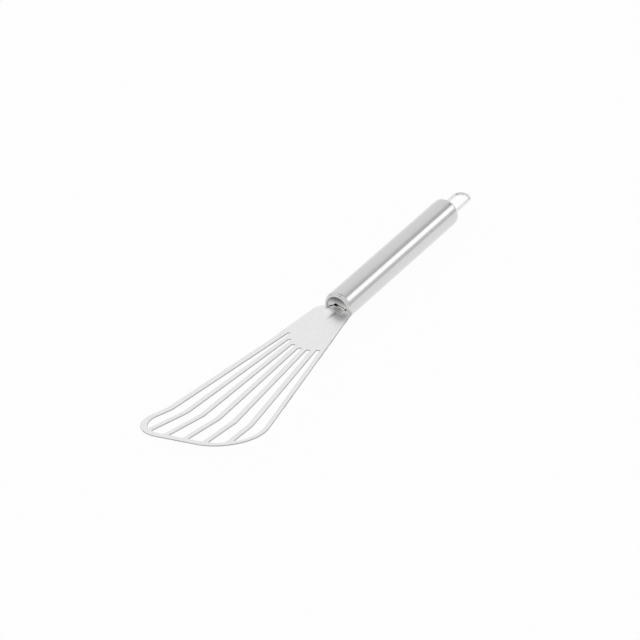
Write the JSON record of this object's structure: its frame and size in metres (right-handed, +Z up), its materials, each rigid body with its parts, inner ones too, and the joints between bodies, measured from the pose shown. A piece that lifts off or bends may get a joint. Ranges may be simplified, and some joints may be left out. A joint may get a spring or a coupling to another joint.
{
  "type": "fish turner",
  "caption": "Slotted turner with a thin fan-shaped steel blade, bent-up tip and a round hollow handle ending in a wire hanging loop.",
  "frame": {"origin": "on the table, under the middle of the object's box as it lies at rest", "axes": "+Y along the handle from the blade towards the hanging loop, +Z up from the table, +X towards the blade's shorter side"},
  "size_m": [0.0755, 0.3206, 0.019],
  "materials": {
    "blade_steel": "fine satin",
    "handle_steel": "satin, brushed round the tube, with a polished nose",
    "disc_steel": "satin",
    "wire_steel": "polished"
  },
  "bodies": {
    "root": {"blade": "blade_steel", "handle_tube": "handle_steel", "end_disc": "disc_steel", "hanging_loop": "wire_steel"}
  },
  "joints": []
}
